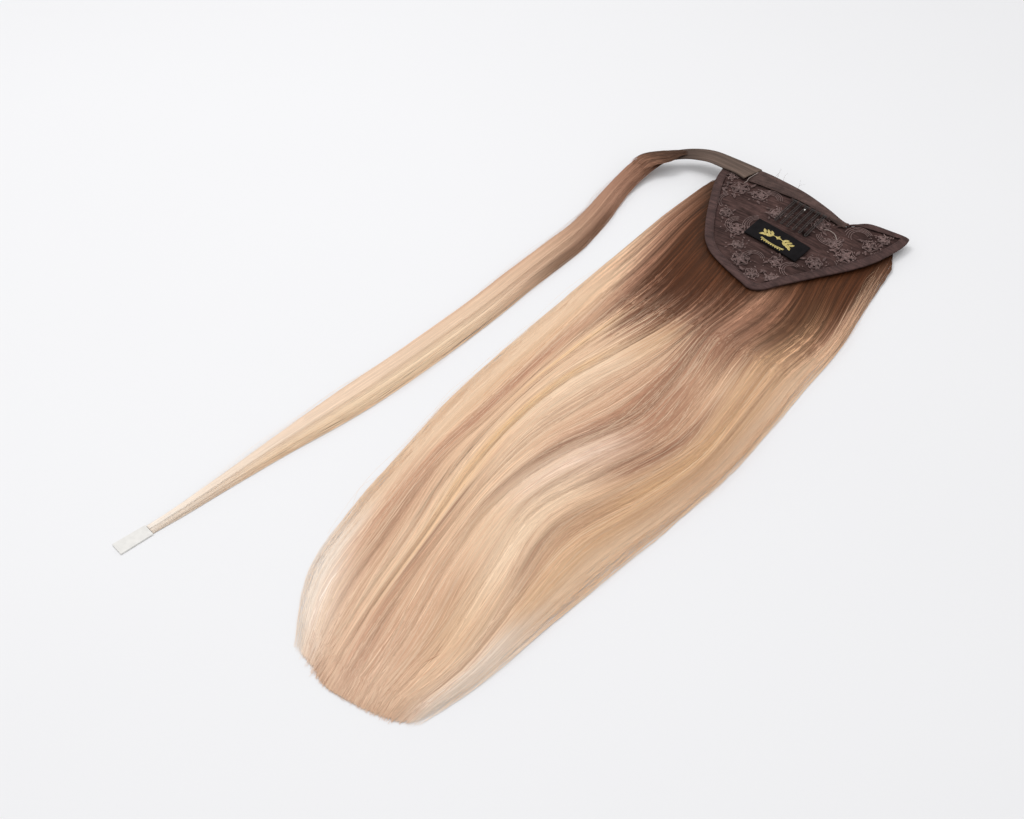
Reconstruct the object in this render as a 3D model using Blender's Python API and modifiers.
# Ponytail hairpiece: a wrap-round extension that lies with the inside of its base up.
# The hair hangs on the underside of a small lace base. A strap with a lock of hair
# sewn to it leaves the base at one corner, to be wound round the wearer's own hair.
#
# Metres, +Z up. The tables are in millimetres and are brought to metres by MM.
# They share one layout: x goes across the tail, y along it, with the tail towards -y,
# z = 0 is the table, and the zero point is the middle of the base. At the end an empty
# carries every piece so that the middle of the footprint is the world's origin.

import math

import bmesh
import bpy
import numpy as np
from mathutils import Matrix, Vector

MM = 0.001

# Walls and gaps
gap = 0.3
lace_wall = 1.2
tape_wall = 1.0
ribbon_wall = 1.2
label_wall = 1.0

# Edge tape: how far its leg covers the panel, and the roll round the panel's edge
binding_leg = 6.5
roll_width = 1.7
roll_above = 0.5
roll_below = 0.2
panel_inset = roll_width + gap

# Comb: hairpin teeth of one wire, welded on a spine under the band's lower edge
comb_teeth = 6
comb_pitch = 5.2
comb_tooth_width = 2.4
comb_tooth_length = 28.0
comb_wire = 0.9
comb_spine = 1.8
comb_centre = (6.0, 20.4)
comb_turn = -4.0

# Woven label
label_size = (46.0, 19.5)
label_centre = (2.1, -23.2)
label_turn = -7.0

# Clear tab that holds the end of the wrap strand
tab_length = 23.0
tab_width = 10.0
tab_wall = 1.0

# Tail mesh: columns across, and rows in the three stretches along
tail_columns = 40
tail_head_rows = 8
tail_fall_rows = 25
tail_cut_rows = 4
tail_edge = 1.6
tail_under_base = 0.6
head_end_y = -82.0
fall_end_y = -462.0
rise_length = 62.0


def table(names, *rows):
    """Named columns of a short table, one row for each section or point."""
    columns = np.array(rows, dtype=float).T
    return dict(zip(names.split(), columns))


# Outline of the base, clockwise from its left corner under the strap. The notch is
# where the top band ends and the right wing begins.
outline = table(
    "x y",
    (-73.0, 37.0),
    (-46.0, 39.5),
    (-20.0, 37.0),
    (-3.0, 34.5),
    (18.0, 29.0),
    (34.0, 24.2),
    (41.0, 28.5),
    (49.0, 35.5),
    (64.0, 39.5),
    (77.0, 42.0),
    (79.2, 38.5),
    (78.0, 29.0),
    (73.5, 14.0),
    (68.0, 0.0),
    (58.0, -17.5),
    (40.5, -42.5),
    (27.0, -61.5),
    (18.0, -74.5),
    (9.5, -78.6),
    (0.0, -75.8),
    (-14.0, -70.8),
    (-31.0, -62.4),
    (-42.0, -52.0),
    (-50.0, -38.5),
    (-56.5, -25.0),
    (-64.0, -7.0),
    (-71.0, 12.0),
    (-73.5, 26.0),
)
outline_steps = 3
outline_centre = (16.0, -4.0)
panel_rings = 7

# Where the tapes on the panel begin and end, as rows of the outline table
band_rows = (1, 5)
band_overrun = -0.1
binding_rows = (5.8, 26)

# The top band's leg: its direction, and its width from the strap's seam to the notch
band_direction = (-0.196, -0.981)
band_leg = table("share width", (0.0, 16.0), (0.3, 12.5), (0.65, 8.5), (1.0, 5.5))

# Sections of the tail: its two edges and its crown, and how far each fifth of the
# hair drifts sideways from an even spread, which is what makes its waves
tail_lanes = (0.0, 0.15, 0.30, 0.48, 0.62, 0.78, 1.0)
tail = table(
    "y left right crown drift_a drift_b drift_c drift_d drift_e",
    (20.0, -76.0, 79.0, 11.0, 0.0, 0.0, 0.0, 0.0, 0.0),
    (-30.0, -85.0, 81.5, 11.0, 0.0, 0.0, 0.0, 0.0, 0.0),
    (-80.0, -89.0, 86.0, 11.0, 2.0, 3.5, 4.0, -3.5, 4.0),
    (-140.0, -93.0, 84.5, 14.0, 4.5, 5.0, 6.0, -6.0, 3.0),
    (-190.0, -96.0, 84.5, 16.0, 5.0, -3.0, -1.0, 0.0, 8.0),
    (-240.0, -98.5, 81.5, 16.5, 5.5, -9.0, -13.0, 1.0, 12.0),
    (-290.0, -99.0, 74.5, 16.0, 5.5, -9.0, -19.0, -15.0, 2.0),
    (-340.0, -95.5, 65.5, 14.5, 1.0, -7.0, -17.0, -22.0, -11.0),
    (-400.0, -90.5, 55.0, 11.5, 5.0, 3.0, -10.0, -14.0, 1.0),
    (-450.0, -80.0, 47.5, 8.5, 5.0, 5.0, -6.0, -3.0, 9.0),
    (-500.0, -48.0, 34.5, 4.5, -2.0, -4.0, -6.0, -1.0, 4.0),
)

# The two ends of the tail, by share of its width
tail_head = table(
    "share y",
    (0.0, 14.0),
    (0.08, 25.0),
    (0.3, 31.0),
    (0.5, 27.0),
    (0.65, 19.0),
    (0.74, 16.0),
    (0.86, 27.0),
    (0.95, 29.0),
    (1.0, 22.0),
)
tail_cut = table(
    "share y",
    (0.0, -493.0),
    (0.2, -497.0),
    (0.45, -503.0),
    (0.7, -500.0),
    (1.0, -491.0),
)

# Locks of the tail: the valleys between them as shares of the width, and the height
# by which each lock stands over its valleys
lock_valleys = (0.0, 0.11, 0.19, 0.29, 0.40, 0.52, 0.63, 0.73, 0.85, 1.0)
lock_rises = (2.0, 2.9, 2.5, 3.2, 2.7, 3.2, 2.8, 3.0, 1.8)

# Wrap strap, from its seam on the base to the hair: middle line, width and tilt
strap = table(
    "x y under width tilt",
    (-49.4, 31.8, 16.6, 17.5, 0.0),
    (-60.0, 34.0, 16.0, 16.0, 0.0),
    (-73.0, 35.4, 15.3, 15.8, 0.0),
    (-86.0, 36.7, 14.4, 14.4, 3.0),
    (-96.0, 35.4, 13.3, 12.8, 6.0),
    (-106.0, 31.5, 12.2, 10.4, 9.0),
    (-115.0, 24.9, 11.0, 9.2, 9.0),
    (-121.3, 18.0, 9.8, 10.2, 5.0),
)
strap_steps = 4
strap_seam_slant = 3.2

# Wrap strand: middle line, height of its underside, width and thickness
strand = table(
    "x y under width thick",
    (-121.8, 17.4, 9.0, 10.5, 3.4),
    (-127.0, 11.5, 7.6, 16.0, 4.2),
    (-130.9, 4.4, 6.2, 18.2, 4.8),
    (-132.8, -5.0, 4.5, 18.2, 5.0),
    (-133.6, -17.0, 2.8, 17.6, 5.2),
    (-133.5, -30.0, 1.4, 17.8, 5.4),
    (-132.2, -45.7, 0.5, 19.0, 5.6),
    (-130.4, -61.0, 0.0, 20.4, 5.6),
    (-129.0, -86.0, 0.0, 22.4, 5.6),
    (-129.8, -108.0, 0.0, 25.0, 5.6),
    (-134.3, -158.0, 0.0, 25.0, 5.6),
    (-137.5, -205.0, 0.0, 25.4, 5.4),
    (-145.2, -270.0, 0.0, 26.2, 5.2),
    (-151.4, -310.0, 0.0, 26.0, 5.0),
    (-156.7, -340.5, 0.0, 23.4, 4.6),
    (-164.2, -379.3, 0.0, 17.6, 4.0),
    (-171.0, -419.0, 0.0, 13.6, 3.4),
    (-176.9, -454.0, 0.0, 10.2, 2.6),
    (-180.6, -473.0, 0.0, 8.8, 2.0),
    (-182.4, -481.5, 0.0, 8.8, 1.8),
)
strand_steps = 2
strand_sides = 16
strand_grooves = 3
groove_depth = 0.09

# Colour, roughness and metallic value of each sub-part
finishes = {
    "lace_base": ((0.105, 0.060, 0.058), 0.85, 0.0),
    "edge_binding": ((0.085, 0.048, 0.050), 0.70, 0.0),
    "top_band": ((0.110, 0.066, 0.060), 0.75, 0.0),
    "comb": ((0.020, 0.015, 0.014), 0.35, 0.8),
    "label": ((0.012, 0.012, 0.014), 0.60, 0.0),
    "wrap_strap": ((0.150, 0.110, 0.085), 0.75, 0.0),
    "wrap_strand": ((0.700, 0.450, 0.270), 0.45, 0.0),
    "tip_tab": ((0.850, 0.840, 0.800), 0.30, 0.0),
    "tail": ((0.500, 0.280, 0.150), 0.45, 0.0),
}


def smooth(knots, values, at):
    """Smooth curve through the values at rising knots, level beyond the ends."""
    knots = np.asarray(knots, dtype=float)
    values = np.asarray(values, dtype=float)
    at = np.clip(np.asarray(at, dtype=float), knots[0], knots[-1])
    slopes = np.gradient(values, knots)
    low = np.clip(np.searchsorted(knots, at, side="right") - 1, 0, len(knots) - 2)
    step = knots[low + 1] - knots[low]
    t = (at - knots[low]) / step
    return (
        values[low] * (2 * t**3 - 3 * t**2 + 1)
        + slopes[low] * step * (t**3 - 2 * t**2 + t)
        + values[low + 1] * (3 * t**2 - 2 * t**3)
        + slopes[low + 1] * step * (t**3 - t**2)
    )


def soft_step(value):
    """0 below 0, 1 above 1, and a smooth ramp between them."""
    t = np.clip(value, 0.0, 1.0)
    return t * t * (3 - 2 * t)


def base_height(x, y):
    """Height of the panel's underside: a low saddle that falls to the right wing."""
    return 13.0 - 0.045 * x - 0.0009 * x * x + 0.05 * y


def outline_point(row):
    """Point of the outline at a row number of its table, fractions included."""
    count = len(outline["x"])
    rows = np.arange(-3, count + 4)
    x = smooth(rows, outline["x"][rows % count], row)
    y = smooth(rows, outline["y"][rows % count], row)
    return np.stack([x, y], axis=-1)


def towards_centre(row):
    """Direction from the outline to the panel's centre, longer on a slanting edge."""
    point = outline_point(row)
    ahead = outline_point(np.asarray(row) + 0.05) - outline_point(np.asarray(row) - 0.05)
    ahead = ahead / np.linalg.norm(ahead, axis=-1, keepdims=True)
    inward = np.stack([ahead[..., 1], -ahead[..., 0]], axis=-1)
    ray = np.array(outline_centre) - point
    ray = ray / np.linalg.norm(ray, axis=-1, keepdims=True)
    square = np.clip(np.sum(inward * ray, axis=-1, keepdims=True), 0.6, 1.0)
    return ray / square


def add_mesh(name, vertices, faces):
    """Object with its own material from points in millimetres and their faces."""
    mesh = bpy.data.meshes.new(name)
    mesh.from_pydata((np.asarray(vertices) * MM).tolist(), [], faces)
    return add_object(name, mesh)


def add_object(name, mesh):
    """Link an object for a mesh, facing outward, smooth, in its own finish."""
    shape = bmesh.new()
    shape.from_mesh(mesh)
    bmesh.ops.recalc_face_normals(shape, faces=shape.faces)
    shape.to_mesh(mesh)
    shape.free()
    mesh.shade_smooth()
    piece = bpy.data.objects.new(name, mesh)
    piece.data.materials.append(make_material(name))
    collection.objects.link(piece)
    return piece


def make_material(name):
    """Principled material of one sub-part."""
    colour, roughness, metallic = finishes[name]
    material = bpy.data.materials.new(name)
    material.use_nodes = True
    shader = material.node_tree.nodes["Principled BSDF"]
    shader.inputs["Base Color"].default_value = (*colour, 1.0)
    shader.inputs["Roughness"].default_value = roughness
    shader.inputs["Metallic"].default_value = metallic
    material.diffuse_color = (*colour, 1.0)
    return material


def solidify(piece, wall, offset):
    """Give an open surface its wall; offset 1 grows it along the face normals."""
    wall_modifier = piece.modifiers.new("wall", "SOLIDIFY")
    wall_modifier.thickness = wall * MM
    wall_modifier.offset = offset


def grid_faces(rows, columns, closed=False):
    """Quads of a grid of points stored row by row; closed joins its last column."""
    faces = []
    for row in range(rows - 1):
        for column in range(columns if closed else columns - 1):
            after = (column + 1) % columns
            low = row * columns
            high = low + columns
            faces.append((low + column, low + after, high + after, high + column))
    return faces


def loft(name, sections):
    """Closed body through sections that all have the same number of points."""
    rows, sides = sections.shape[:2]
    faces = grid_faces(rows, sides, closed=True)
    faces.append(tuple(range(sides - 1, -1, -1)))
    faces.append(tuple(range((rows - 1) * sides, rows * sides)))
    piece = add_mesh(name, sections.reshape(-1, 3), faces)
    triangulate(piece)
    return piece


def triangulate(piece):
    """Cut every face into triangles, so that no end cap is a bent polygon."""
    shape = bmesh.new()
    shape.from_mesh(piece.data)
    bmesh.ops.triangulate(shape, faces=shape.faces)
    shape.to_mesh(piece.data)
    shape.free()


def build_lace_base():
    """The panel: rings from its centre to just inside the tapes' rolls."""
    count = len(outline["x"])
    row = np.arange(0, count, 1.0 / outline_steps)
    rim = outline_point(row) + towards_centre(row) * panel_inset
    centre = np.array(outline_centre)
    points = [(*centre, float(base_height(*centre)))]
    for ring in range(1, panel_rings + 1):
        spread = centre + (rim - centre) * ring / panel_rings
        points.extend((x, y, base_height(x, y)) for x, y in spread)
    sides = len(row)
    faces = [(0, 1 + side, 1 + (side + 1) % sides) for side in range(sides)]
    for ring in range(panel_rings - 1):
        low = 1 + ring * sides
        high = low + sides
        for side in range(sides):
            after = (side + 1) % sides
            faces.append((low + side, high + side, high + after, low + after))
    panel = add_mesh("lace_base", points, faces)
    face_up(panel)
    solidify(panel, lace_wall, 1.0)
    return panel


def face_up(piece):
    """Turn an open surface so that its faces look up, whatever order it was made in."""
    if piece.data.polygons[0].normal.z < 0:
        piece.data.flip_normals()


def edge_tape(name, row, inward, leg):
    """Folded tape along the outline: a leg on the panel and a roll round its edge."""
    edge = outline_point(row)
    leg_under = lace_wall + gap
    leg_top = leg_under + tape_wall
    roll_top = leg_top + roll_above
    leg = np.broadcast_to(leg, row.shape)
    constant = np.ones_like(row)
    profile = (
        (leg, leg_under),
        (leg, leg_top),
        (0.9 * constant, roll_top),
        (0.2 * constant, leg_top - 0.2),
        (0.0 * constant, lace_wall * 0.6),
        (0.4 * constant, 0.0),
        (1.0 * constant, -roll_below),
        (roll_width * constant, 0.1),
        (roll_width * constant, leg_under),
    )
    sections = np.zeros((len(row), len(profile), 3))
    for side, (inset, height) in enumerate(profile):
        spot = edge + inward * inset[:, None]
        sections[:, side, :2] = spot
        sections[:, side, 2] = base_height(spot[:, 0], spot[:, 1]) + height
    return loft(name, sections)


def build_edge_binding():
    """Binding round the right wing, the apex and the left side."""
    first, last = binding_rows
    row = np.linspace(first, last, round((last - first) * outline_steps) + 1)
    return edge_tape("edge_binding", row, towards_centre(row), binding_leg)


def build_top_band():
    """Band along the top edge, from the strap's seam to the notch, tapering."""
    first, last = band_rows
    row = np.linspace(first, last + band_overrun, (last - first) * outline_steps + 3)
    share = (row - first) / (last - first)
    leg = smooth(band_leg["share"], band_leg["width"], share)
    inward = np.broadcast_to(band_direction, (len(row), 2))
    return edge_tape("top_band", row, inward, leg)


def tangent_frame(x, y, height, turn):
    """Matrix that lays a flat piece on the panel, turned about the panel's normal."""
    slope_x = float(base_height(x + 1, y) - base_height(x, y))
    slope_y = float(base_height(x, y + 1) - base_height(x, y))
    normal = Vector((-slope_x, -slope_y, 1.0)).normalized()
    across = Vector((math.cos(math.radians(turn)), math.sin(math.radians(turn)), 0.0))
    across = (across - normal * across.dot(normal)).normalized()
    along = normal.cross(across)
    place = Matrix.Identity(4)
    for axis, direction in enumerate((across, along, normal)):
        for part in range(3):
            place[part][axis] = direction[part]
    place.translation = Vector((x, y, float(base_height(x, y)) + height)) * MM
    return place


def wire_curve(name, points, wire):
    """Round wire through points, as a mesh of its own."""
    curve = bpy.data.curves.new(name, "CURVE")
    curve.dimensions = "3D"
    curve.bevel_depth = wire * MM / 2
    curve.bevel_resolution = 1
    curve.use_fill_caps = True
    line = curve.splines.new("POLY")
    line.points.add(len(points) - 1)
    for spot, (x, y, z) in zip(line.points, points):
        spot.co = (x * MM, y * MM, z * MM, 1.0)
    maker = bpy.data.objects.new(name + "_wire", curve)
    collection.objects.link(maker)
    bpy.context.view_layer.update()
    evaluated = maker.evaluated_get(bpy.context.evaluated_depsgraph_get())
    mesh = bpy.data.meshes.new_from_object(evaluated)
    bpy.data.objects.remove(maker)
    shape = bmesh.new()
    shape.from_mesh(mesh)
    bmesh.ops.remove_doubles(shape, verts=shape.verts, dist=0.00001)
    bmesh.ops.recalc_face_normals(shape, faces=shape.faces)
    shape.to_mesh(mesh)
    shape.free()
    mesh.materials.clear()
    return mesh


def hairpin(middle):
    """Points of one hairpin tooth: down one side, round the tip and up again."""
    half = (comb_tooth_width - comb_wire) / 2
    points = [(middle - half, 0.0, 0.0), (middle - half, -comb_tooth_length * 0.5, 0.7)]
    for step in range(5):
        angle = math.pi * step / 4
        x = middle - half * math.cos(angle)
        y = -comb_tooth_length + half * (1 - math.sin(angle))
        points.append((x, y, 0.1))
    points.append((middle + half, -comb_tooth_length * 0.5, 0.7))
    points.append((middle + half, 0.0, 0.0))
    return points


def build_comb():
    """Spine and hairpin teeth united into one body, laid on the panel."""
    reach = comb_pitch * (comb_teeth - 1) / 2
    spine_end = reach + comb_tooth_width / 2 + 0.4
    spine = wire_curve("comb", [(-spine_end, 0, 0), (spine_end, 0, 0)], comb_spine)
    comb = add_object("comb", spine)
    for tooth in range(comb_teeth):
        middle = -reach + comb_pitch * tooth
        wire = wire_curve("tooth", hairpin(middle), comb_wire)
        cutter = bpy.data.objects.new("tooth_%d" % (tooth + 1), wire)
        cutter.hide_render = True
        cutter.display_type = "WIRE"
        helpers.objects.link(cutter)
        union = comb.modifiers.new("tooth_%d" % (tooth + 1), "BOOLEAN")
        union.operation = "UNION"
        union.object = cutter
        tools.append(cutter)
    height = lace_wall + gap + comb_spine / 2 + 0.15
    place = tangent_frame(*comb_centre, height, comb_turn)
    for piece in [comb] + tools:
        piece.matrix_world = place
    return comb


def build_label():
    """Woven label: a rectangle that follows the panel."""
    columns, rows = 9, 5
    turn = math.radians(label_turn)
    points = []
    for row in range(rows):
        for column in range(columns):
            across = (column / (columns - 1) - 0.5) * label_size[0]
            along = (row / (rows - 1) - 0.5) * label_size[1]
            x = label_centre[0] + across * math.cos(turn) - along * math.sin(turn)
            y = label_centre[1] + across * math.sin(turn) + along * math.cos(turn)
            points.append((x, y, base_height(x, y) + lace_wall + gap))
    label = add_mesh("label", points, grid_faces(rows, columns))
    face_up(label)
    solidify(label, label_wall, 1.0)
    return label


def along_path(path, steps):
    """A path's columns on a smooth curve, with unit directions along and across."""
    knots = np.arange(len(path["x"]))
    at = np.linspace(0, knots[-1], knots[-1] * steps + 1)
    fine = {name: smooth(knots, column, at) for name, column in path.items()}
    ahead = np.stack([np.gradient(fine["x"]), np.gradient(fine["y"])], axis=-1)
    ahead /= np.linalg.norm(ahead, axis=-1, keepdims=True)
    across = np.stack([-ahead[:, 1], ahead[:, 0]], axis=-1)
    return fine, ahead, across


def build_wrap_strap():
    """Ribbon from its seam on the base, arching over the table to the hair."""
    fine, ahead, across = along_path(strap, strap_steps)
    columns = 5
    points = []
    for place in range(len(fine["x"])):
        tilt = math.radians(fine["tilt"][place])
        seam = strap_seam_slant if place == 0 else 0.0
        for column in range(columns):
            side = (column / (columns - 1) - 0.5) * fine["width"][place]
            x = fine["x"][place] + across[place, 0] * side * math.cos(tilt)
            y = fine["y"][place] + across[place, 1] * side * math.cos(tilt)
            x -= seam * side / fine["width"][place]
            z = fine["under"][place] - side * math.sin(tilt)
            points.append((x, y, z))
    ribbon = add_mesh("wrap_strap", points, grid_faces(len(fine["x"]), columns))
    face_up(ribbon)
    solidify(ribbon, ribbon_wall, 1.0)
    return ribbon


def build_wrap_strand():
    """Lock of hair: flat-bottomed sections with shallow grooves along their tops."""
    fine, ahead, across = along_path(strand, strand_steps)
    rows = len(fine["x"])
    sections = np.zeros((rows, strand_sides, 3))
    for side in range(strand_sides):
        angle = 2 * math.pi * (side + 0.5) / strand_sides
        reach = math.cos(angle) / 2
        rise = max(math.sin(angle), 0.0) ** 0.8
        if rise > 0:
            wave = math.cos(2 * math.pi * strand_grooves * (reach + 0.5))
            height = 0.12 + 0.88 * rise - groove_depth * (1 + wave) / 2
        else:
            height = 0.0
            reach *= 0.96
        sections[:, side, :2] = np.stack([fine["x"], fine["y"]], axis=-1)
        sections[:, side, :2] += across * (fine["width"] * reach)[:, None]
        sections[:, side, 2] = fine["under"] + fine["thick"] * height
    sections[:, :, 2] = np.maximum(sections[:, :, 2], 0.0)
    return loft("wrap_strand", sections)


def build_tip_tab():
    """Clear tab that goes on in line with the end of the strand."""
    fine, ahead, across = along_path(strand, strand_steps)
    end = np.array([fine["x"][-1], fine["y"][-1]]) + ahead[-1] * gap
    columns, rows = 3, 4
    points = []
    for row in range(rows):
        spot = end + ahead[-1] * tab_length * row / (rows - 1)
        half = tab_width / 2 * (0.92 + 0.08 * row / (rows - 1))
        for column in range(columns):
            side = (column / (columns - 1) * 2 - 1) * half
            points.append((*(spot + across[-1] * side), 0.0))
    tab = add_mesh("tip_tab", points, grid_faces(rows, columns))
    face_up(tab)
    solidify(tab, tab_wall, 1.0)
    return tab


def tail_x(share, y):
    """Sideways place of the hair at a share of the width, with its waves."""
    left = smooth(-tail["y"], tail["left"], -y)
    right = smooth(-tail["y"], tail["right"], -y)
    drifts = [np.zeros_like(y)]
    for name in "abcde":
        drifts.append(smooth(-tail["y"], tail["drift_" + name], -y))
    drifts.append(np.zeros_like(y))
    drift = np.array([
        smooth(tail_lanes, lane_drifts, lane)
        for lane, lane_drifts in zip(share, np.stack(drifts, axis=-1))
    ])
    return left + (right - left) * share + drift


def lock_height(share):
    """Height of the locks over their valleys, as round ridges side by side."""
    height = np.zeros_like(share)
    for low, high, rise in zip(lock_valleys[:-1], lock_valleys[1:], lock_rises):
        inside = (share >= low) & (share <= high)
        height[inside] = rise * np.sin(np.pi * (share[inside] - low) / (high - low)) ** 0.7
    return height


def tail_height(share, x, y):
    """Top of the tail: held down by the base, then rising to its crown, with locks."""
    free = soft_step((head_end_y - y) / rise_length)
    crown = smooth(-tail["y"], tail["crown"], -y)
    body = (base_height(x, y) - tail_under_base) * (1 - free) + crown * free
    round_off = (1 - np.abs(2 * share - 1) ** 3.6) ** 0.8
    thin_end = 0.4 + 0.6 * soft_step((y - tail["y"][-1]) / 60.0)
    valleys = (max(lock_rises) - lock_height(share)) * free * thin_end
    top = tail_edge + (body - tail_edge - valleys) * round_off
    return np.maximum(top, tail_edge)


def build_tail():
    """The hair: one body with locks along its top, flat where it lies on the table."""
    share = np.linspace(0.0, 1.0, tail_columns)
    head = smooth(tail_head["share"], tail_head["y"], share)
    cut = smooth(tail_cut["share"], tail_cut["y"], share)
    lines = []
    for part in np.linspace(0, 1, tail_head_rows, endpoint=False):
        lines.append(head + (head_end_y - head) * part)
    for part in np.linspace(0, 1, tail_fall_rows, endpoint=False):
        lines.append(np.full(tail_columns, head_end_y + (fall_end_y - head_end_y) * part))
    for part in np.linspace(0, 1, tail_cut_rows):
        lines.append(fall_end_y + (cut - fall_end_y) * part)
    top = []
    for y in lines:
        x = tail_x(share, y)
        top.append(np.stack([x, y, tail_height(share, x, y)], axis=-1))
    top = np.array(top)
    under = top.copy()
    under[:, :, 2] = 0.0
    rows = len(lines)
    count = rows * tail_columns
    faces = grid_faces(rows, tail_columns)
    faces += [tuple(count + corner for corner in reversed(face)) for face in faces]
    rim = list(range(tail_columns))
    rim += [row * tail_columns + tail_columns - 1 for row in range(1, rows)]
    rim += [(rows - 1) * tail_columns + column for column in range(tail_columns - 2, -1, -1)]
    rim += [row * tail_columns for row in range(rows - 2, 0, -1)]
    for first, second in zip(rim, rim[1:] + rim[:1]):
        faces.append((first, second, count + second, count + first))
    points = np.concatenate([top.reshape(-1, 3), under.reshape(-1, 3)])
    hair = add_mesh("tail", points, faces)
    triangulate(hair)
    return hair


def centre_on_origin(pieces):
    """Hang the pieces on an empty that brings their footprint's middle to x = y = 0."""
    bpy.context.view_layer.update()
    graph = bpy.context.evaluated_depsgraph_get()
    corners = []
    for piece in pieces:
        shown = piece.evaluated_get(graph)
        corners += [shown.matrix_world @ Vector(corner) for corner in shown.bound_box]
    middle_x = (min(c.x for c in corners) + max(c.x for c in corners)) / 2
    middle_y = (min(c.y for c in corners) + max(c.y for c in corners)) / 2
    carrier = bpy.data.objects.new("hairpiece", None)
    collection.objects.link(carrier)
    carrier.location = (-middle_x, -middle_y, 0.0)
    for piece in pieces + tools:
        piece.parent = carrier


for item in list(bpy.data.objects):
    bpy.data.objects.remove(item)

collection = bpy.data.collections.new("ponytail_hairpiece")
helpers = bpy.data.collections.new("comb_teeth")
bpy.context.scene.collection.children.link(collection)
bpy.context.scene.collection.children.link(helpers)
tools = []

centre_on_origin([
    build_lace_base(),
    build_edge_binding(),
    build_top_band(),
    build_comb(),
    build_label(),
    build_wrap_strap(),
    build_wrap_strand(),
    build_tip_tab(),
    build_tail(),
])
